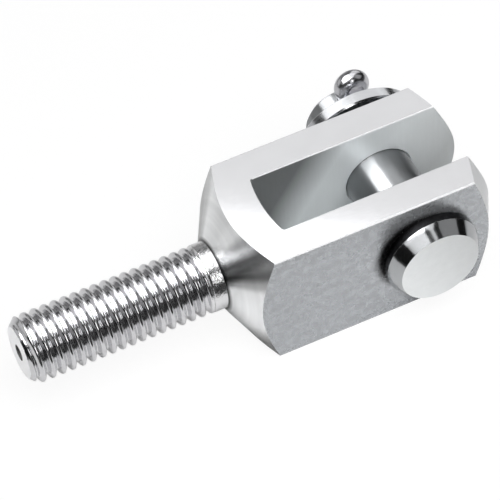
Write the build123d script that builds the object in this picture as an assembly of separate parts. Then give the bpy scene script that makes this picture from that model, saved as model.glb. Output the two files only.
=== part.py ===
from build123d import *
import math
import os

# Clevis rod end: a fork turned and milled from square bar, with a male threaded shank, and
# a headed clevis pin that a washer and a split pin keep in its jaw.
# Millimetres. X runs along the rod with the jaw's mouth at +X, Y runs along the clevis pin
# with its head at -Y, and Z is up. The origin is where the pin's axis crosses the rod's axis.

# Fork body
square = 20.0            # side of the square bar
slot_width = 10.15       # between the inner faces of the ears
slot_depth = 20.0        # pin axis to the deepest point of the slot's base
slot_base_rise = 0.6     # how far the base curves forward where it meets the ears
mouth_reach = 11.9       # pin axis to the end of the ears, at their inner faces
mouth_angle = 62.5       # half angle of the cone turned on the ears
shoulder_reach = 28.2    # pin axis to where the shoulder cone meets the shank
shoulder_angle = 61.0    # half angle of the shoulder cone
bar_edge_break = 0.2     # along the bar's four long edges
slot_edge_break = 0.15   # along the slot's edges on the top and bottom faces
bore_edge_break = 0.15   # around the cross bore, on both faces of each ear

# Shank, for an M10 x 1.5 thread
shank_diameter = 9.85    # over the thread's crests
shank_length = 29.2      # shoulder cone to the free end
lead_in_length = 1.2
lead_in_diameter = 7.6   # at the free end
centre_diameter = 2.4    # of the centre-drilled hole, at the end face
centre_drill = 1.0
centre_angle = 60.0
centre_depth = 2.6

# Clevis pin
pin_diameter = 10.0
pin_clearance = 0.05     # on the radius, in the ears' bore
pin_overhang = 2.7       # split pin's axis to the pin's free end
pin_chamfer = 0.8
pin_turn = 11.0          # degrees that the pin and its split pin are turned in the jaw
head_diameter = 14.0
head_thickness = 3.45
head_rim = 1.35          # straight part of the head's edge
head_face_diameter = 11.8
head_clearance = 0.05    # head to the ear

# Washer
washer_inset = 0.1       # the washer's rim inside the block's flat faces
washer_thickness = 2.0
washer_edge_break = 0.2  # on the rim, at both faces
washer_clearance = 0.05  # on the radius, around the pin
washer_play = 0.8        # ear to washer

# Split pin, bent from half-round wire with its flat side inwards
wire_diameter = 2.8      # of the two legs laid together
wire_clearance = 0.2     # on the radius, in the clevis pin's cross hole
split_pin_play = 1.8     # washer to split pin
leg_gap = 0.08           # between the legs' flat sides
eye_diameter = 2.4       # inside the eye
neck_radius = 4.5        # of the flat side, where the eye runs into the legs
eye_seat = 0.85          # pin surface down to where the legs become parallel
leg_bend_radius = 2.2
leg_bend_angle = 85.0
leg_bend_drop = 0.1      # pin surface down to the start of the bend
long_leg_end = 4.2       # straight end past the bend
short_leg_end = 3.7

half = square / 2
slot_half = slot_width / 2
shank_radius = shank_diameter / 2
shank_end = -shoulder_reach - shank_length
pin_radius = pin_diameter / 2
bore_radius = pin_radius + pin_clearance
wire_radius = wire_diameter / 2
washer_near_face = half + washer_play
washer_far_face = washer_near_face + washer_thickness
split_pin_reach = washer_far_face + split_pin_play + wire_radius
pin_reach = split_pin_reach + pin_overhang


def turned_blank():
    """What the lathe leaves: the shank, the shoulder cone and the cone at the mouth."""
    clear = square
    shoulder_slope = math.tan(math.radians(shoulder_angle))
    mouth_slope = math.tan(math.radians(mouth_angle))
    outline = Polyline(
        (shank_end, 0),
        (shank_end, lead_in_diameter / 2),
        (shank_end + lead_in_length, shank_radius),
        (-shoulder_reach, shank_radius),
        (-shoulder_reach + (clear - shank_radius) / shoulder_slope, clear),
        (mouth_reach - (clear - slot_half) / mouth_slope, clear),
        (mouth_reach + slot_half / mouth_slope, 0),
        close=True,
    )
    return revolve(make_face(outline), Axis.X)


def square_bar():
    """The square bar with its long edges broken, longer than the turned blank."""
    section = Plane.YZ * Rectangle(square, square)
    section = chamfer(section.vertices(), bar_edge_break)
    return extrude(section, 2 * (shoulder_reach + shank_length), both=True)


def jaw_slot():
    """The slot between the ears: through from top to bottom, with a shallow arc for a base."""
    beyond = 2 * mouth_reach
    corner = -slot_depth + slot_base_rise
    base = ThreePointArc((corner, -slot_half), (-slot_depth, 0), (corner, slot_half))
    sides = Polyline(
        (corner, slot_half), (beyond, slot_half), (beyond, -slot_half), (corner, -slot_half)
    )
    return extrude(make_face([base, sides]), square, both=True)


def cross_bore():
    """The bore through both ears, flared where it meets each of the four faces."""
    flare = bore_radius + bore_edge_break
    outline = Polyline(
        (0, -square),
        (flare, -square),
        (flare, -half),
        (bore_radius, -half + bore_edge_break),
        (bore_radius, -slot_half - bore_edge_break),
        (flare, -slot_half),
        (flare, slot_half),
        (bore_radius, slot_half + bore_edge_break),
        (bore_radius, half - bore_edge_break),
        (flare, half),
        (flare, square),
        (0, square),
        close=True,
    )
    return revolve(make_face(outline), Axis.Y)


def centre_hole():
    """The centre-drilled hole in the end of the shank."""
    mouth = centre_diameter / 2
    drill = centre_drill / 2
    seat = (mouth - drill) / math.tan(math.radians(centre_angle / 2))
    outline = Polyline(
        (shank_end, 0),
        (shank_end, mouth),
        (shank_end + seat, drill),
        (shank_end + centre_depth, drill),
        (shank_end + centre_depth + drill, 0),
        close=True,
    )
    return revolve(make_face(outline), Axis.X)


def on_slot_edge(edge):
    """True for the edges where the slot opens through the top and bottom faces."""
    ends = (edge @ 0, edge @ 1)
    on_face = all(abs(abs(end.Z) - half) < 0.001 for end in ends)
    on_slot = all(abs(abs(end.Y) - slot_half) < 0.001 for end in ends)
    return on_face and on_slot


def fork_body():
    body = turned_blank() & square_bar()
    body -= jaw_slot()
    body = chamfer(body.edges().filter_by(on_slot_edge), slot_edge_break)
    body -= cross_bore()
    body -= centre_hole()
    return body


def clevis_pin():
    """The headed pin, with the hole for its split pin near the free end."""
    seat = -half - head_clearance
    outline = Polyline(
        (0, seat - head_thickness),
        (head_face_diameter / 2, seat - head_thickness),
        (head_diameter / 2, seat - head_rim),
        (head_diameter / 2, seat),
        (pin_radius, seat),
        (pin_radius, pin_reach - pin_chamfer),
        (pin_radius - pin_chamfer, pin_reach),
        (0, pin_reach),
        close=True,
    )
    hole = Pos(0, split_pin_reach, 0) * Cylinder(wire_radius + wire_clearance, 2 * pin_diameter)
    return revolve(make_face(outline), Axis.Y) - hole


def washer():
    rim = half - washer_inset
    hole = pin_radius + washer_clearance
    outline = Polyline(
        (hole, washer_near_face),
        (rim - washer_edge_break, washer_near_face),
        (rim, washer_near_face + washer_edge_break),
        (rim, washer_far_face - washer_edge_break),
        (rim - washer_edge_break, washer_far_face),
        (hole, washer_far_face),
        close=True,
    )
    return revolve(make_face(outline), Axis.Y)


def split_pin_side(straight_end):
    """Half of the split pin, swept from the top of its eye down to the end of one leg.

    It is drawn flat, with Y towards the eye, and the section's round side stays outwards.
    """
    eye_radius = eye_diameter / 2
    flat = leg_gap / 2
    parting = pin_radius - eye_seat
    neck_turn = math.degrees(math.acos((flat + neck_radius) / (eye_radius + neck_radius)))
    eye_centre = parting + (eye_radius + neck_radius) * math.sin(math.radians(neck_turn))
    bend_start = -pin_radius - leg_bend_drop
    eye = JernArc((0, eye_centre + eye_radius), (1, 0), eye_radius, -90 - neck_turn)
    neck = JernArc(eye @ 1, eye % 1, neck_radius, neck_turn)
    shank = Line(neck @ 1, (flat, bend_start))
    bend = JernArc(shank @ 1, shank % 1, leg_bend_radius, leg_bend_angle)
    end = Line(bend @ 1, (bend @ 1) + (bend % 1) * straight_end)
    section_plane = Plane(eye @ 0, x_dir=(0, 1, 0), z_dir=(1, 0, 0))
    round_side = ThreePointArc((0, -wire_radius), (wire_radius, 0), (0, wire_radius))
    section = make_face([round_side, Line(round_side @ 1, round_side @ 0)])
    return sweep(section_plane * section, Wire([eye, neck, shank, bend, end]))


def split_pin():
    """Both legs, bent apart around the clevis pin, with the eye standing above it."""
    flat_pin = split_pin_side(long_leg_end)
    flat_pin += mirror(split_pin_side(short_leg_end), Plane.YZ)
    return Pos(0, split_pin_reach, 0) * Rot(90, 0, 0) * flat_pin


in_jaw = Rot(0, pin_turn, 0)
nodes = {
    "fork_body": fork_body(),
    "clevis_pin": in_jaw * clevis_pin(),
    "washer": washer(),
    "split_pin": in_jaw * split_pin(),
}
os.makedirs("parts", exist_ok=True)
for name, shape in nodes.items():
    export_step(shape, f"parts/{name}.step")
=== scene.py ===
import math
import bpy
import bmesh
from mathutils import Matrix, Vector


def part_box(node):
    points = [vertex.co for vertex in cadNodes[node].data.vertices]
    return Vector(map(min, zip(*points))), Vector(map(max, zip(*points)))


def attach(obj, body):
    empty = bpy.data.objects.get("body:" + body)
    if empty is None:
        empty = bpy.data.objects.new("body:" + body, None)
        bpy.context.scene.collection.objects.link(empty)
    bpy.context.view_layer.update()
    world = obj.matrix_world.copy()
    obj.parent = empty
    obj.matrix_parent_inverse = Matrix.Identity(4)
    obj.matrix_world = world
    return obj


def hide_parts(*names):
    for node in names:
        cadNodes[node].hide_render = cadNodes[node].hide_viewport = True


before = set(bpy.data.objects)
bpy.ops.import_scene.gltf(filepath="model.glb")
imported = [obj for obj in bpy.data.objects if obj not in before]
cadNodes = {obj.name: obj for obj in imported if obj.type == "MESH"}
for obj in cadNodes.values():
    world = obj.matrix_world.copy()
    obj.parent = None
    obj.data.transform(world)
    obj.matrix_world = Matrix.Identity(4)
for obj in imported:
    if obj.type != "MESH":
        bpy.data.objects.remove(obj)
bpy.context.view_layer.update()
print("frame loaded")

mm = 0.001
weldWithin = 0.0005           # mm between corners of a solid's triangles that become one
flatWithin = 0.3              # degrees between faces that become one


def markSharp(edges, degrees):
    # the real edges stay crisp, the facets of curved walls run smooth
    for edge in edges:
        edge.smooth = len(edge.link_faces) == 2 and edge.calc_face_angle() < math.radians(degrees)


def finishPiece(name, bm, materials):
    for face in bm.faces:
        face.smooth = True
    mesh = bpy.data.meshes.new(name)
    bm.to_mesh(mesh)
    bm.free()
    for material in materials:
        mesh.materials.append(material)
    piece = bpy.data.objects.new(name, mesh)
    bpy.context.scene.collection.objects.link(piece)
    return piece


def profileEdges(bm, points):
    # a chain of edges through (along X, radius) points, in mm
    verts = [bm.verts.new(Vector((along, 0, radius)) * mm) for along, radius in points]
    edges = [bm.edges.new(pair) for pair in zip(verts, verts[1:])]
    return verts + edges


def mergedCopy(nodeName):
    # a solid's loose triangles, joined up at their corners
    bm = bmesh.new()
    bm.from_mesh(cadNodes[nodeName].data)
    bmesh.ops.remove_doubles(bm, verts=bm.verts, dist=weldWithin * mm)
    return bm


def joinFlats(bm):
    # each flat wall in one face again
    bmesh.ops.dissolve_limit(bm, angle_limit=math.radians(flatWithin), verts=bm.verts,
                             edges=bm.edges, use_dissolve_boundaries=False)


def easeEdges(bm, width, fromDegrees):
    # rounds over every edge that turns by more than the given angle
    edges = [e for e in bm.edges
             if len(e.link_faces) == 2 and e.calc_face_angle() > math.radians(fromDegrees)]
    return bmesh.ops.bevel(bm, geom=edges, offset=width * mm, offset_type="OFFSET", segments=2,
                           profile=0.5, affect="EDGES", clamp_overlap=True, material=-1)["faces"]


noiseKinds = {                # detail and roughness
    "mottle": (5.0, 0.68),
    "fine": (3.0, 0.6),
    "specks": (2.0, 0.6),
    "soft": (2.0, 0.5),
}
noiseRange = (0.3, 0.7)       # what most of a noise's values lie between
acrossRings = 0.25            # of a turn, from the rings' own direction


def addNode(owner, kind, **settings):
    # the owner is a material or the world
    node = owner.node_tree.nodes.new(kind)
    for key, value in settings.items():
        setattr(node, key, value)
    return node


def join(owner, output, socket):
    owner.node_tree.links.new(output, socket)


def grey(tone):
    return (tone, tone, tone, 1)


def shaderOf(material):
    return material.node_tree.nodes["Principled BSDF"]


def startMetal(name, finish, axis=None):
    # with an axis, the gloss is drawn out across the rings that turning leaves round it;
    # these are the finish's middle values, which its noise then varies
    material = bpy.data.materials.new(name)
    material.use_nodes = True
    sockets = shaderOf(material).inputs
    sockets["Base Color"].default_value = (*finish["tint"], 1)
    sockets["Metallic"].default_value = finish.get("metallic", 1.0)
    sockets["Roughness"].default_value = sum(finish["roughness"]) / 2
    sockets["Anisotropic"].default_value = finish.get("anisotropy", 0.0)
    if axis:
        sockets["Anisotropic Rotation"].default_value = acrossRings
        tangent = addNode(material, "ShaderNodeTangent", direction_type="RADIAL", axis=axis)
        join(material, tangent.outputs["Tangent"], sockets["Tangent"])
    return material


def placeInMm(material, stretch=(1, 1, 1), shift=(0, 0, 0)):
    # object coordinates in millimetres, squeezed or drawn out along each axis
    place = addNode(material, "ShaderNodeTexCoord")
    scaled = addNode(material, "ShaderNodeMapping")
    scaled.inputs["Location"].default_value = shift
    scaled.inputs["Scale"].default_value = [share / mm for share in stretch]
    join(material, place.outputs["Object"], scaled.inputs["Vector"])
    return scaled.outputs["Vector"]


def aroundAxis(material, axis, alongShare=1.0, centre=(0, 0, 0)):
    # (radius, place along the axis, 0) in mm, so that noise read from it runs in rings
    split = addNode(material, "ShaderNodeSeparateXYZ")
    join(material, placeInMm(material, shift=[-c for c in centre]), split.inputs["Vector"])
    flat = addNode(material, "ShaderNodeCombineXYZ")
    for across, socket in zip((a for a in "XYZ" if a != axis), "XY"):
        join(material, split.outputs[across], flat.inputs[socket])
    radius = addNode(material, "ShaderNodeVectorMath", operation="LENGTH")
    join(material, flat.outputs["Vector"], radius.inputs[0])
    slide = addNode(material, "ShaderNodeMath", operation="MULTIPLY")
    slide.inputs[1].default_value = alongShare
    join(material, split.outputs[axis], slide.inputs[0])
    ring = addNode(material, "ShaderNodeCombineXYZ")
    join(material, radius.outputs["Value"], ring.inputs["X"])
    join(material, slide.outputs["Value"], ring.inputs["Y"])
    return ring.outputs["Vector"]


def noiseOn(material, vector, perMm, kind="fine"):
    noise = addNode(material, "ShaderNodeTexNoise")
    detail, roughness = noiseKinds[kind]
    noise.inputs["Scale"].default_value = perMm
    noise.inputs["Detail"].default_value = detail
    noise.inputs["Roughness"].default_value = roughness
    join(material, vector, noise.inputs["Vector"])
    return noise.outputs["Fac"]


def spread(material, value, low, high, fromLow=noiseRange[0], fromHigh=noiseRange[1]):
    # maps a value onto the wanted range, and holds it there
    ranged = addNode(material, "ShaderNodeMapRange")
    ranged.inputs["From Min"].default_value = fromLow
    ranged.inputs["From Max"].default_value = fromHigh
    ranged.inputs["To Min"].default_value = low
    ranged.inputs["To Max"].default_value = high
    join(material, value, ranged.inputs["Value"])
    return ranged.outputs["Result"]


def tintOver(material, value, finish, fromRange=noiseRange):
    # the tint, which noise takes from the finish's first share of it to the second
    mix = addNode(material, "ShaderNodeMix", data_type="RGBA")
    for socket, share in zip("AB", finish["shares"]):
        mix.inputs[socket].default_value = (*[min(1.0, c * share) for c in finish["tint"]], 1)
    join(material, spread(material, value, 0, 1, *fromRange), mix.inputs["Factor"])
    return mix.outputs["Result"]


def dimmed(material, colour, value, share, darkAt, lightAt):
    # a share of the colour where the value is darkAt, and all of it at lightAt
    mix = addNode(material, "ShaderNodeMix", data_type="RGBA")
    mix.inputs["A"].default_value = grey(0)
    join(material, colour, mix.inputs["B"])
    join(material, spread(material, value, share, 1.0, darkAt, lightAt), mix.inputs["Factor"])
    return mix.outputs["Result"]


def fadeAlong(material, colour, direction, share, darkAt, lightAt):
    # dims a colour by the run along a direction, in mm from the origin
    run = addNode(material, "ShaderNodeVectorMath", operation="DOT_PRODUCT")
    join(material, placeInMm(material), run.inputs[0])
    run.inputs[1].default_value = direction
    return dimmed(material, colour, run.outputs["Value"], share, darkAt, lightAt)


def fadeAround(material, colour, axis, centre, share, darkAt, lightAt):
    # dims a colour by the distance in mm from an axis through a point
    split = addNode(material, "ShaderNodeSeparateXYZ")
    join(material, aroundAxis(material, axis, centre=centre), split.inputs["Vector"])
    return dimmed(material, colour, split.outputs["X"], share, darkAt, lightAt)


def fadeByAngle(material, colour, axis, reflectionBands):
    # dims a colour by pairs of (degrees round the axis, share), with straight up at 0
    split = addNode(material, "ShaderNodeSeparateXYZ")
    join(material, placeInMm(material), split.inputs["Vector"])
    turn = addNode(material, "ShaderNodeMath", operation="ARCTAN2")
    for index, across in enumerate(a for a in "XYZ" if a != axis):
        join(material, split.outputs[across], turn.inputs[index])
    ramp = addNode(material, "ShaderNodeValToRGB")
    ramp.color_ramp.interpolation = "EASE"
    stops = ramp.color_ramp.elements
    while len(stops) < len(reflectionBands):
        stops.new(0.5)
    for stop, (degrees, share) in zip(stops, reflectionBands):
        stop.position = 0.5 + degrees / 360
        stop.color = grey(share)
    join(material, spread(material, turn.outputs["Value"], 0, 1, -math.pi, math.pi),
         ramp.inputs["Fac"])
    mix = addNode(material, "ShaderNodeMix", data_type="RGBA", blend_type="MULTIPLY")
    mix.inputs["Factor"].default_value = 1.0
    join(material, colour, mix.inputs["A"])
    join(material, ramp.outputs["Color"], mix.inputs["B"])
    return mix.outputs["Result"]


def setColour(material, colour):
    join(material, colour, shaderOf(material).inputs["Base Color"])


def setRoughness(material, value, finish):
    join(material, spread(material, value, *finish["roughness"]),
         shaderOf(material).inputs["Roughness"])


def addBump(material, height, strength, depth, before=None):
    # the shader takes the last bump that is added, which can carry the one before
    bump = addNode(material, "ShaderNodeBump")
    bump.inputs["Strength"].default_value = strength
    bump.inputs["Distance"].default_value = depth * mm
    join(material, height, bump.inputs["Height"])
    if before:
        join(material, before, bump.inputs["Normal"])
    join(material, bump.outputs["Normal"], shaderOf(material).inputs["Normal"])
    return bump.outputs["Normal"]


# In each finish, shares (of the tint) and roughness are given where the noise is low and high.
# Bump is a strength and a depth in mm. A fade is painted shade or light: a direction, or an
# axis and a point on it, then the share of the colour that is left, and the mm where it is
# darkest and where it ends.

barSides = {
    "tint": (0.605, 0.625, 0.65),
    "shares": (0.88, 1.12),
    "roughness": (0.30, 0.25),
    "metallic": 0.7,
    "bump": (0.006, 0.02),
    "mottlePerMm": 0.9,
    "mottleRange": (0.35, 0.65),
    # painted shade: a ring round the pin's head
    "headShadeRing": ("Y", (-1.36, 0, 0.85), 0.02, 6.0, 7.2),
    # painted shade, darker low down and towards the shoulder
    "lowShade": ((0.4, 0, 1), 0.88, -15, 8),
    # painted light: paler just below the pin's head
    "underHeadLight": ("Y", (-2, 0, -10), 0.80, 8, 3),
}


def makeBarSides():
    # drawn bar under zinc: a satin, slightly mottled skin
    material = startMetal("barSides", barSides)
    mottle = noiseOn(material, placeInMm(material), barSides["mottlePerMm"], "mottle")
    skin = tintOver(material, mottle, barSides, barSides["mottleRange"])
    # painted shade: a dark ring round the pin's head, in place of its shadow and dark reflection
    ringShaded = fadeAround(material, skin, *barSides["headShadeRing"])
    # painted shade: darker low down and towards the shoulder; painted light: paler just below the
    # pin's head, as the rest dims
    shadedLow = fadeAlong(material, ringShaded, *barSides["lowShade"])
    setColour(material, fadeAround(material, shadedLow, *barSides["underHeadLight"]))
    setRoughness(material, mottle, barSides)
    addBump(material, mottle, *barSides["bump"])
    return material


barFlats = {
    "tint": (0.748, 0.75, 0.765),
    "shares": (0.985, 1.015),
    "roughness": (0.05, 0.08),
    "bump": (0.004, 0.01),
    "grainPerMm": 6.0,
    "grainStretch": (0.12, 1, 1),
    "cloudPerMm": 0.35,
}


def makeBarFlats():
    # the top and bottom flats, ground bright along the bar
    material = startMetal("barFlats", barFlats)
    grain = noiseOn(material, placeInMm(material, barFlats["grainStretch"]),
                    barFlats["grainPerMm"])
    cloud = noiseOn(material, placeInMm(material), barFlats["cloudPerMm"], "soft")
    setColour(material, tintOver(material, cloud, barFlats))
    setRoughness(material, grain, barFlats)
    addBump(material, grain, *barFlats["bump"])
    return material


shoulderCone = {
    "tint": (0.93, 0.94, 0.95),
    "shares": (0.9, 1.06),
    "roughness": (0.20, 0.27),
    "anisotropy": 0.85,
    "bump": (0.06, 0.02),
    "ringsPerMm": 7.0,
    "stainPerMm": 1.1,
    # painted shade in the corner with the shank's neck
    "neckCornerShade": ("X", (0, 0, 0), 0.06, 5.1, 5.6),
    # painted shade, dark low on the shoulder's near side
    "lowShade": ((0, 0.54, 0.84), 0.14, -11.0, -7.6),
    # painted reflections: degrees round the rod towards +Y, share of the tint
    "reflectionBands": [(-180, 0.8), (-94, 1.0), (-68, 0.95), (-60, 0.5), (-52, 0.15), (-43, 0.45),
              (-35, 0.3), (-24, 0.58), (-14, 0.97), (32, 1.0), (46, 0.62), (60, 0.38),
              (72, 0.48), (92, 0.6), (120, 0.5), (150, 0.95), (180, 0.8)],
}
mouthCone = {**shoulderCone, "tint": (0.66, 0.67, 0.68), "reflectionBands": None}


def makeTurnedCone(name, finish):
    # the lathe's fine rings on the shoulder and the mouth
    material = startMetal(name, finish, "X")
    across = aroundAxis(material, "X", 0.0)
    rings = noiseOn(material, across, finish["ringsPerMm"])
    stain = noiseOn(material, across, finish["stainPerMm"], "soft")
    tone = tintOver(material, stain, finish)
    # painted reflection bands round the shoulder, and painted shade low on it
    if finish["reflectionBands"]:
        tone = fadeByAngle(material, tone, "X", finish["reflectionBands"])
        tone = fadeAlong(material, tone, *finish["lowShade"])
    # painted shade: dark in the corner with the shank's neck
    setColour(material, fadeAround(material, tone, *finish["neckCornerShade"]))
    setRoughness(material, rings, finish)
    addBump(material, rings, *finish["bump"])
    return material


milledSlot = {
    "tint": (0.94, 0.975, 0.985),
    "shares": (0.98, 1.015),
    "roughness": (0.44, 0.54),
    "metallic": 0.5,
    "bump": (0.01, 0.02),
    "marksPerMm": 2.6,
    "markStretch": (1, 1, 0.06),
    "grainPerMm": 7.0,
    # painted shade deep in the slot and low in its mouth
    "slotBaseShade": ((1, 0, -0.667), 0.26, -18.0, -11.0),
    "slotMouthShade": ((-1, 0, 0.8), 0.55, -10.0, 3.0),
}


def makeMilledSlot():
    # the cutter's faint upright marks on the ears' inner faces
    material = startMetal("milledSlot", milledSlot)
    marks = noiseOn(material, placeInMm(material, milledSlot["markStretch"]),
                    milledSlot["marksPerMm"])
    grain = noiseOn(material, placeInMm(material), milledSlot["grainPerMm"], "soft")
    # painted shade: darker towards the slot's base and low in the mouth
    deep = fadeAlong(material, tintOver(material, marks, milledSlot), *milledSlot["slotBaseShade"])
    setColour(material, fadeAlong(material, deep, *milledSlot["slotMouthShade"]))
    setRoughness(material, grain, milledSlot)
    addBump(material, marks, *milledSlot["bump"])
    return material


edgeHighlight = {
    "tint": (0.98, 0.98, 0.99),
    "shares": (0.86, 1.0),
    "roughness": (0.35, 0.5),
    "metallic": 0.05,
    "edgeNoisePerMm": 1.6,
}


def makeEdgeHighlight():
    # deburred by hand; near white and barely metallic, a painted highlight that makes the eased
    # edges show as bright lines
    material = startMetal("edgeHighlight", edgeHighlight)
    edgeNoise = noiseOn(material, placeInMm(material), edgeHighlight["edgeNoisePerMm"])
    setColour(material, tintOver(material, edgeNoise, edgeHighlight))
    setRoughness(material, edgeNoise, edgeHighlight)
    return material


threadZinc = {
    "tint": (0.68, 0.68, 0.695),
    "shares": (0.93, 1.04),
    "roughness": (0.12, 0.17),
    "bump": (0.06, 0.12),
    "speckBump": (0.018, 0.012),
    "wavesPerMm": 0.9,
    "specksPerMm": 6.0,
    "shift": (0, 0, 0),
}
neckZinc = {
    **threadZinc,
    "tint": (0.80, 0.80, 0.81),
    "roughness": (0.15, 0.26),
    "bump": (0.5, 0.12),
    "speckBump": (0.15, 0.012),
    "wavesPerMm": 2.0,
    "shift": (3.3, 0, 0),
}


def makeShankZinc(name, finish):
    # bright zinc over cut steel: glossy, slightly uneven
    material = startMetal(name, finish)
    place = placeInMm(material, shift=finish["shift"])
    wave = noiseOn(material, place, finish["wavesPerMm"])
    speck = noiseOn(material, place, finish["specksPerMm"], "specks")
    setColour(material, tintOver(material, speck, finish))
    setRoughness(material, speck, finish)
    coarse = addBump(material, wave, *finish["bump"])
    addBump(material, speck, *finish["speckBump"], before=coarse)
    return material


cutEnd = {
    "tint": (0.97, 0.97, 0.98),
    "roughness": (0.38, 0.55),
    "bump": (0.06, 0.02),
    "ringsPerMm": 5.0,
}


def makeCutEnd():
    # the faced end of the shank
    material = startMetal("cutEnd", cutEnd)
    rings = noiseOn(material, aroundAxis(material, "X", 0.0), cutEnd["ringsPerMm"])
    setRoughness(material, rings, cutEnd)
    addBump(material, rings, *cutEnd["bump"])
    return material


holeShade = {
    "tint": (0.035, 0.034, 0.033),
    "shares": (1.0, 2.0),
    "roughness": (0.5, 0.75),
    "metallic": 0.0,
    "holeNoisePerMm": 3.5,
}


def makeHoleShade():
    # painted shade: near black, with a little noise, down in the centre hole
    material = startMetal("holeShade", holeShade)
    holeNoise = noiseOn(material, placeInMm(material), holeShade["holeNoisePerMm"])
    setColour(material, tintOver(material, holeNoise, holeShade))
    setRoughness(material, holeNoise, holeShade)
    return material


pinShank = {
    "tint": (0.38, 0.39, 0.40),
    "shares": (0.97, 1.02),
    "roughness": (0.31, 0.36),
    "anisotropy": 1.0,
    "bump": (0.02, 0.01),
    "ringsPerMm": 9.0,
    "stainPerMm": 0.9,
}
headBright = {
    **pinShank,
    "tint": (0.86, 0.88, 0.885),
    "roughness": (0.05, 0.09),
    "anisotropy": 0.0,
    "bump": (0.012, 0.01),
    "ringsPerMm": 7.0,
    # painted shade: the head's face darker towards its right and top
    "fade": ((0.9, 0, 0.4), 0.72, 6.0, -5.0),
}
headChamfer = {
    **pinShank,
    "tint": (0.42, 0.43, 0.44),
    "roughness": (0.10, 0.15),
    "anisotropy": 0.4,
    "bump": (0.03, 0.01),
    "ringsPerMm": 7.0,
}
# painted shade: the head's rim near black, in place of its shadow and dark reflection
headRimShade = {
    **pinShank,
    "tint": (0.06, 0.06, 0.063),
    "roughness": (0.16, 0.26),
    "anisotropy": 0.0,
    "bump": (0.03, 0.01),
    "ringsPerMm": 5.0,
}
washerZinc = {
    **pinShank,
    "tint": (0.66, 0.67, 0.69),
    "roughness": (0.12, 0.20),
    "anisotropy": 0.0,
    "bump": (0.03, 0.01),
    "ringsPerMm": 3.0,
}


def makeTurnedBright(name, finish):
    # turned and polished round the pin's axis, with fine rings
    material = startMetal(name, finish, "Y")
    rings = noiseOn(material, aroundAxis(material, "Y"), finish["ringsPerMm"])
    stain = noiseOn(material, placeInMm(material), finish["stainPerMm"])
    tone = tintOver(material, stain, finish)
    # painted shade across the head's face, where the finish has one
    if "fade" in finish:
        tone = fadeAlong(material, tone, *finish["fade"])
    setColour(material, tone)
    setRoughness(material, rings, finish)
    addBump(material, rings, *finish["bump"])
    return material


wireZinc = {
    "tint": (0.60, 0.60, 0.625),
    "shares": (0.94, 1.0),
    "roughness": (0.19, 0.23),
    "bump": (0.003, 0.05),
    "wavesPerMm": 1.1,
    "specksPerMm": 7.0,
}


def makeWireZinc():
    # drawn wire, zinc plated, with the marks of its bending
    material = startMetal("wireZinc", wireZinc)
    place = placeInMm(material)
    wave = noiseOn(material, place, wireZinc["wavesPerMm"], "soft")
    speck = noiseOn(material, place, wireZinc["specksPerMm"], "specks")
    setColour(material, tintOver(material, speck, wireZinc))
    setRoughness(material, speck, wireZinc)
    addBump(material, wave, *wireZinc["bump"])
    return material


forkFinishes = {
    "sides": makeBarSides(),
    "flats": makeBarFlats(),
    "cones": makeTurnedCone("shoulderCone", shoulderCone),
    "jaw": makeMilledSlot(),
    "edges": makeEdgeHighlight(),
    "thread": makeShankZinc("threadZinc", threadZinc),
    "end": makeCutEnd(),
    "hole": makeHoleShade(),
    "neck": makeShankZinc("neckZinc", neckZinc),
    "mouth": makeTurnedCone("mouthCone", mouthCone),
}
pinFinishes = {
    "shank": makeTurnedBright("pinShank", pinShank),
    "face": makeTurnedBright("headBright", headBright),
    "rim": makeTurnedBright("headRimShade", headRimShade),
    "edges": forkFinishes["edges"],
    "chamfer": makeTurnedBright("headChamfer", headChamfer),
}
forkSlot = {name: index for index, name in enumerate(forkFinishes)}
pinSlot = {name: index for index, name in enumerate(pinFinishes)}
print("materials made")


thread = {
    "pitch": 1.5,
    "majorRadius": 4.925,
    "depth": 0.84,
    # points of its profile, in shares of half a pitch from the crest
    "profile": (0.05, 0.12, 0.22, 0.34, 0.5, 0.68, 0.8, 0.9, 1),
    "crestFullness": 1.5,     # 1 for crests as wide as the roots, more for wider crests
    "crestAt": -56.0,         # x where a crest crosses a line along the rod,
    "crestAngle": -52.0,      # which is so many degrees from straight up, towards the near side
    "leadIn": 1.2,
    "tipRadius": 3.8,
    "endRing": 0.08,          # a ring so far inside the end face's edge keeps its shading flat
    "runOut": 1.6,
    "runOutPower": 0.7,       # under 1, the grooves stay deep for longer
    "neck": 1.7,
    "neckFinish": 0.4,        # share of the run-out that takes the neck's finish
    "stepsPerTurn": 72,
    "weldWithin": 0.002,      # mm between the points of two turns that meet
    "sharpFrom": 50,
}
centreHole = {"mouth": 1.2, "drill": 0.5, "seat": 1.21, "depth": 2.6}
forkHead = {"edge": 0.07, "easeFrom": 18, "sharpFrom": 12}
shoulderRoot = -28.2
shankInside = 0.6             # how far the shank's shell runs on inside the shoulder
cutPast = 0.005               # how far past the shoulder's root the head is cut off
endWithin = 0.001             # faces so near to the shank's end are its end face
faceTests = {                 # what tells the head's faces apart: mm, and shares of a normal
    "near": 0.01,
    "straight": 0.99,
    "upright": 0.1,
    "leaning": 0.3,
    "rearFrom": -15,          # the slot's base and the shoulder lie behind this
    "mouthFrom": 1,
}

forkLow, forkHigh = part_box("fork_body")
shankEnd = forkLow.x / mm
half = forkHigh.z / mm


def threadProfile():
    # one pitch, from root to root over the crest
    shares = [-s for s in reversed(thread["profile"])] + [0] + list(thread["profile"])
    points = []
    for share in shares:
        wave = 0.5 - 0.5 * math.cos(math.pi * abs(share))
        drop = thread["depth"] * wave ** thread["crestFullness"]
        points.append((share * thread["pitch"] / 2, thread["majorRadius"] - drop))
    return points


def wholeOf(bm):
    return bm.verts[:] + bm.edges[:] + bm.faces[:]


def ringAt(bm, along):
    # the open edges that lie in one plane across the rod
    return [e for e in bm.edges if e.is_boundary
            and all(abs(v.co.x / mm - along) < faceTests["near"] for v in e.verts)]


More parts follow.
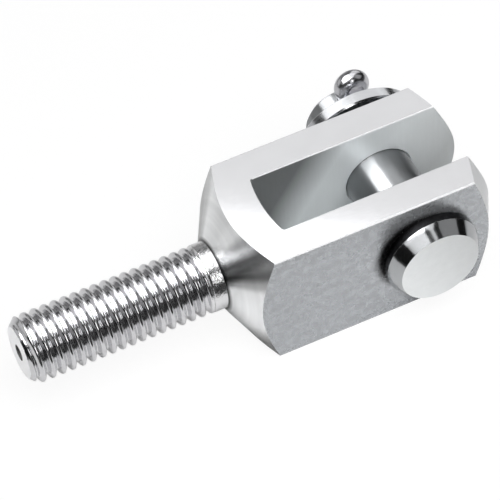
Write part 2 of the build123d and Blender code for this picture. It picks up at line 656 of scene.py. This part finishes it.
def extendRing(bm, ring, radius, along):
    # carries an open ring on to another radius and place
    grown = bmesh.ops.extrude_edge_only(bm, edges=ring)["geom"]
    for vert in (g for g in grown if isinstance(g, bmesh.types.BMVert)):
        vert.co.yz = vert.co.yz.normalized() * radius * mm
        vert.co.x = along * mm
    return [g for g in grown if isinstance(g, bmesh.types.BMEdge)]


def windThread(bm, shellEnd):
    # one turn is spun, copied along the rod and cut to length at both ends
    pitch = thread["pitch"]
    steps = thread["stepsPerTurn"]
    bmesh.ops.spin(bm, geom=profileEdges(bm, threadProfile()), cent=(0, 0, 0), axis=(1, 0, 0),
                   dvec=(pitch / steps * mm, 0, 0), angle=2 * math.pi, steps=steps,
                   use_merge=False, use_duplicate=False)
    oneTurn = wholeOf(bm)
    turns = math.ceil((shellEnd - shankEnd) / pitch) + 2    # two to spare for the cuts
    for turn in range(1, turns):
        copied = bmesh.ops.duplicate(bm, geom=oneTurn)["geom"]
        verts = [g for g in copied if isinstance(g, bmesh.types.BMVert)]
        bmesh.ops.translate(bm, verts=verts, vec=(turn * pitch * mm, 0, 0))
    bmesh.ops.remove_doubles(bm, verts=bm.verts, dist=thread["weldWithin"] * mm)
    # the crest that starts straight up at x = 0 is slid to its place
    slide = thread["crestAt"] + thread["crestAngle"] / 360 * pitch
    start = slide - pitch * math.ceil((slide - shankEnd) / pitch + 0.5)
    bmesh.ops.translate(bm, verts=bm.verts, vec=(start * mm, 0, 0))
    for end, side in ((shankEnd, "clear_inner"), (shellEnd, "clear_outer")):
        bmesh.ops.bisect_plane(bm, geom=wholeOf(bm), plane_co=(end * mm, 0, 0),
                               plane_no=(1, 0, 0), **{side: True})


def turnEnds(bm):
    # turned down for the lead-in, filled up to the crests for the run-out and the neck
    slope = (thread["majorRadius"] - thread["tipRadius"]) / thread["leadIn"]
    runOutFrom = shoulderRoot - thread["neck"] - thread["runOut"]
    for vert in bm.verts:
        along = vert.co.x / mm
        radius = vert.co.yz.length / mm
        leadIn = thread["tipRadius"] + slope * (along - shankEnd)
        into = (along - runOutFrom) / thread["runOut"]
        left = min(1.0, max(0.0, 1 - into)) ** thread["runOutPower"]
        filled = thread["majorRadius"] - thread["depth"] * left
        wanted = min(max(radius, filled), thread["majorRadius"], leadIn)
        vert.co.yz = vert.co.yz * (wanted / radius)


def makeShank():
    bm = bmesh.new()
    shellEnd = shoulderRoot + shankInside
    windThread(bm, shellEnd)
    turnEnds(bm)
    ring = ringAt(bm, shankEnd)
    for radius, deep in ((thread["tipRadius"] - thread["endRing"], 0), (centreHole["mouth"], 0),
                         (centreHole["drill"], centreHole["seat"]),
                         (centreHole["drill"], centreHole["depth"])):
        ring = extendRing(bm, ring, radius, shankEnd + deep)
    bmesh.ops.contextual_create(bm, geom=ring)
    bmesh.ops.contextual_create(bm, geom=ringAt(bm, shellEnd))
    bmesh.ops.recalc_face_normals(bm, faces=bm.faces)
    markSharp(bm.edges, thread["sharpFrom"])
    neckFrom = shoulderRoot - thread["neck"] - thread["neckFinish"] * thread["runOut"]
    for face in bm.faces:
        centre = face.calc_center_median() / mm
        face.material_index = forkSlot["thread"]
        if centre.x < shankEnd + endWithin:
            face.material_index = forkSlot["end"]
        elif centre.x > neckFrom:
            face.material_index = forkSlot["neck"]
        elif centre.yz.length < centreHole["mouth"]:
            face.material_index = forkSlot["hole"]
    return bm


def edgeSlotFor(normal):
    # the painted edge highlight goes on all edges but those facing the far side, which keep the
    # finish of the bar
    return forkSlot["edges"] if normal.y < faceTests["leaning"] else forkSlot["sides"]


def forkSlotFor(face):
    # which finish a face of the fork's head takes, from where it lies and faces
    centre = face.calc_center_median() / mm
    normal = face.normal
    near, straight, leaning = faceTests["near"], faceTests["straight"], faceTests["leaning"]
    atRear = centre.x < faceTests["rearFrom"]
    if abs(normal.z) > straight and abs(centre.z) > half - near:
        return forkSlot["flats"]
    if abs(normal.y) > straight:
        return forkSlot["sides"] if abs(centre.y) > half - near else forkSlot["jaw"]
    if abs(normal.z) < faceTests["upright"] and atRear and normal.x > 0:
        return forkSlot["jaw"]
    if abs(normal.x) < near and abs(abs(normal.y) - abs(normal.z)) < near:
        return edgeSlotFor(normal)
    if normal.x < -leaning and atRear:
        return forkSlot["cones"]
    if normal.x > leaning and centre.x > faceTests["mouthFrom"]:
        return forkSlot["mouth"]
    return forkSlot["jaw"]


def makeHead():
    bm = mergedCopy("fork_body")
    cut = shoulderRoot + cutPast
    bmesh.ops.bisect_plane(bm, geom=wholeOf(bm), plane_co=(cut * mm, 0, 0), plane_no=(1, 0, 0),
                           clear_inner=True)
    bmesh.ops.contextual_create(bm, geom=ringAt(bm, cut))
    bmesh.ops.recalc_face_normals(bm, faces=bm.faces)
    joinFlats(bm)
    for face in bm.faces:
        face.material_index = forkSlotFor(face)
    for face in easeEdges(bm, forkHead["edge"], forkHead["easeFrom"]):
        face.material_index = edgeSlotFor(face.normal)
    markSharp(bm.edges, forkHead["sharpFrom"])
    return bm


def makeFork():
    bm = makeShank()
    head = makeHead()
    headMesh = bpy.data.meshes.new("forkHead")
    head.to_mesh(headMesh)
    head.free()
    bm.from_mesh(headMesh)
    bpy.data.meshes.remove(headMesh)
    return finishPiece("clevisFork", bm, forkFinishes.values())


fork = makeFork()
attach(fork, "fork")
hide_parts("fork_body")
print("fork made", len(fork.data.polygons), "faces")


pinPiece = {
    "edge": 0.09,
    "easeFrom": 20,
    "sharpFrom": 14,
    "headPlay": 0.05,         # between the head and the near ear
    "rimUnder": 0.1,          # share of a face's normal along the pin, on the head's rim
    "chamferUnder": 0.9,      # and on its chamfer
}


def pinSlotFor(face, seat):
    # which finish a face of the pin takes: beyond the seat they are the head's own
    lean = abs(face.normal.y)
    if face.calc_center_median().y / mm >= seat:
        return pinSlot["shank"]
    if lean < pinPiece["rimUnder"]:
        return pinSlot["rim"]
    return pinSlot["chamfer"] if lean < pinPiece["chamferUnder"] else pinSlot["face"]


def makePin():
    bm = mergedCopy("clevis_pin")
    joinFlats(bm)
    seat = -half - pinPiece["headPlay"]
    for face in bm.faces:
        face.material_index = pinSlotFor(face, seat)
    # the head's eased edges take the painted edge highlight
    for face in easeEdges(bm, pinPiece["edge"], pinPiece["easeFrom"]):
        if face.calc_center_median().y < seat * mm:
            face.material_index = pinSlot["edges"]
    markSharp(bm.edges, pinPiece["sharpFrom"])
    return finishPiece("headedPin", bm, pinFinishes.values())


pin = makePin()
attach(pin, "pin")
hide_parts("clevis_pin")
print("pin made", len(pin.data.polygons), "faces")

cadNodes["washer"].material_slots[0].material = makeTurnedBright("washerZinc", washerZinc)
cadNodes["split_pin"].material_slots[0].material = makeWireZinc()
print("washer and split pin dressed")


studio = {
    "floorHalf": 6.0,
    "floorWhite": 0.91,       # what the camera sees of the paper, without its shadow
    "floorShadow": 0.115,
    "paperNear": 0.92,        # "paperNear": 0.92, # painted light: how pale the paper is in reflections, by the rod and far off
    "paperFar": 0.22,
    "nearTo": 0.06,           # metres from the rod
    "farFrom": 0.25,
    "paperShift": (0.011, 0, 0),    # the near patch is set off from the origin,
    "paperStretch": (0.5, 1, 0),    # and is longer along the rod
    "frontEdge": (-0.036, -0.028),  # where the pale paper ends, in front of the rod
    "frontDark": 0.04,
    "dimness": 0.012,
    "backdropTone": 0.84,     # past the paper, so that bright edges show against it
}
lamps = {
    # centre in metres, width, height or depth, degrees about Z if it faces down or None if it
    # faces the part, glow
    "longBox": ((-0.0908, 0.2322, 0.50), 0.818, 0.51, -35.6, 1.36),
    "nearStrip": ((-0.30, -0.06, 0.49), 0.72, 0.12, 0.0, 1.4),
    "brightCore": ((-0.27, 0.08, 0.48), 0.46, 0.44, 0.0, 9.0),
    "lowerStrip": ((-0.40, -0.225, 0.49), 0.68, 0.13, 0.0, 1.5),
    "sideCard": ((0.4635, 0.5203, 0.4305), 0.495, 0.73, None, 0.93),
    "leftCard": ((-0.47, 0.354, 0.125), 0.50, 0.26, None, 0.6),
    "backCard": ((0.10, 0.74, 0.14), 1.30, 0.42, None, 0.26),
    "rightCard": ((0.432, -0.157, 0.386), 0.42, 0.42, None, 0.40),
    "roundLamp": ((0.05, -0.46, 0.37), 0.10, 0.26, None, 3.5),
    "frontCard": ((-0.20, -0.86, 0.28), 0.66, 0.60, None, 0.13),
    "paperLamp": ((0.0, -0.28, 0.45), 0.6, 0.6, 0.0, 3.4),
}


def addLamp(name, centre, along, across, turned, glow):
    lamp = bpy.data.lights.new(name, "AREA")
    lamp.shape = "RECTANGLE"
    lamp.size = along
    lamp.size_y = across
    lamp.energy = glow * math.pi * along * across
    holder = bpy.data.objects.new(name, lamp)
    holder.location = centre
    if turned is None:
        holder.rotation_euler = Vector(centre).to_track_quat("Z", "Y").to_euler()
    else:
        holder.rotation_euler = (0, 0, math.radians(turned))
    # one lamp lights the paper, the others are what the metal mirrors
    holder.visible_glossy = name != "paperLamp"
    holder.visible_diffuse = name == "paperLamp"
    bpy.context.scene.collection.objects.link(holder)


for lampName, lampValues in lamps.items():
    addLamp(lampName, *lampValues)


def plainPaper(material, tone):
    paper = addNode(material, "ShaderNodeBsdfDiffuse")
    paper.inputs["Color"].default_value = grey(tone)
    return paper


def reflectedPaperLight(material):
    # painted light, seen in reflections: the paper pale near the part, darker far off and dark in
    # front of it
    place = addNode(material, "ShaderNodeTexCoord")
    stretch = addNode(material, "ShaderNodeMapping")
    stretch.inputs["Location"].default_value = studio["paperShift"]
    stretch.inputs["Scale"].default_value = studio["paperStretch"]
    join(material, place.outputs["Object"], stretch.inputs["Vector"])
    away = addNode(material, "ShaderNodeVectorMath", operation="LENGTH")
    join(material, stretch.outputs["Vector"], away.inputs[0])
    tone = spread(material, away.outputs["Value"], studio["paperNear"], studio["paperFar"],
                  studio["nearTo"], studio["farFrom"])
    split = addNode(material, "ShaderNodeSeparateXYZ")
    join(material, place.outputs["Object"], split.inputs["Vector"])
    front = spread(material, split.outputs["Y"], studio["frontDark"], studio["paperNear"],
                   *studio["frontEdge"])
    least = addNode(material, "ShaderNodeMath", operation="MINIMUM")
    join(material, tone, least.inputs[0])
    join(material, front, least.inputs[1])
    paper = addNode(material, "ShaderNodeBsdfDiffuse")
    join(material, least.outputs["Value"], paper.inputs["Color"])
    return paper


def mixShaders(owner, factor, first, second):
    mix = addNode(owner, "ShaderNodeMixShader")
    join(owner, factor, mix.inputs["Fac"])
    join(owner, first.outputs[0], mix.inputs[1])
    join(owner, second.outputs[0], mix.inputs[2])
    return mix


def makeFloor():
    bm = bmesh.new()
    bmesh.ops.create_grid(bm, x_segments=1, y_segments=1, size=studio["floorHalf"])
    bmesh.ops.translate(bm, verts=bm.verts, vec=(0, 0, forkLow.z))
    material = bpy.data.materials.new("floorPaper")
    material.use_nodes = True
    nodes = material.node_tree.nodes
    nodes.remove(nodes["Principled BSDF"])
    path = addNode(material, "ShaderNodeLightPath")
    # to the camera: white paper with a light shadow
    white = addNode(material, "ShaderNodeEmission")
    white.inputs["Strength"].default_value = studio["floorWhite"]
    toCamera = addNode(material, "ShaderNodeAddShader")
    join(material, white.outputs["Emission"], toCamera.inputs[0])
    join(material, plainPaper(material, studio["floorShadow"]).outputs["BSDF"],
         toCamera.inputs[1])
    shiny = addNode(material, "ShaderNodeMath", operation="MAXIMUM")
    join(material, path.outputs["Is Glossy Ray"], shiny.inputs[0])
    join(material, path.outputs["Is Transmission Ray"], shiny.inputs[1])
    reflected = mixShaders(material, shiny.outputs["Value"],
                           plainPaper(material, studio["paperNear"]), reflectedPaperLight(material))
    final = mixShaders(material, path.outputs["Is Camera Ray"], reflected, toCamera)
    join(material, final.outputs["Shader"], nodes["Material Output"].inputs["Surface"])
    floor = finishPiece("paperFloor", bm, [material])


def makeWorld():
    world = bpy.data.worlds.new("studioWorld")
    world.use_nodes = True
    bpy.context.scene.world = world
    nodes = world.node_tree.nodes
    dark = nodes["Background"]
    dark.inputs["Color"].default_value = grey(1)
    dark.inputs["Strength"].default_value = studio["dimness"]
    backdrop = addNode(world, "ShaderNodeBackground")
    backdrop.inputs["Color"].default_value = grey(studio["backdropTone"])
    path = addNode(world, "ShaderNodeLightPath")
    mix = mixShaders(world, path.outputs["Is Camera Ray"], dark, backdrop)
    join(world, mix.outputs["Shader"], nodes["World Output"].inputs["Surface"])


makeFloor()
makeWorld()
bpy.context.scene.view_settings.view_transform = "Standard"
print("studio lit")


look = {
    "azimuth": 22.67,
    "elevation": 50.07,
    "roll": 4.20,
    "distance": 0.59037,
    "aimAt": (-0.020664, 0.004179, -0.003439),
    "lens": 305.69,
    "clipStart": 0.01,
}


def makeCamera():
    azimuth = math.radians(look["azimuth"])
    elevation = math.radians(look["elevation"])
    away = Vector((-math.sin(azimuth) * math.cos(elevation),
                   -math.cos(azimuth) * math.cos(elevation),
                   math.sin(elevation)))
    data = bpy.data.cameras.new("partView")
    data.lens = look["lens"]
    data.clip_start = look["clipStart"]
    camera = bpy.data.objects.new("partView", data)
    level = away.to_track_quat("Z", "Y").to_matrix()
    roll = Matrix.Rotation(-math.radians(look["roll"]), 3, "Z")
    camera.rotation_euler = (level @ roll).to_euler()
    camera.location = Vector(look["aimAt"]) + away * look["distance"]
    bpy.context.scene.collection.objects.link(camera)
    bpy.context.scene.camera = camera


makeCamera()
print("camera set")
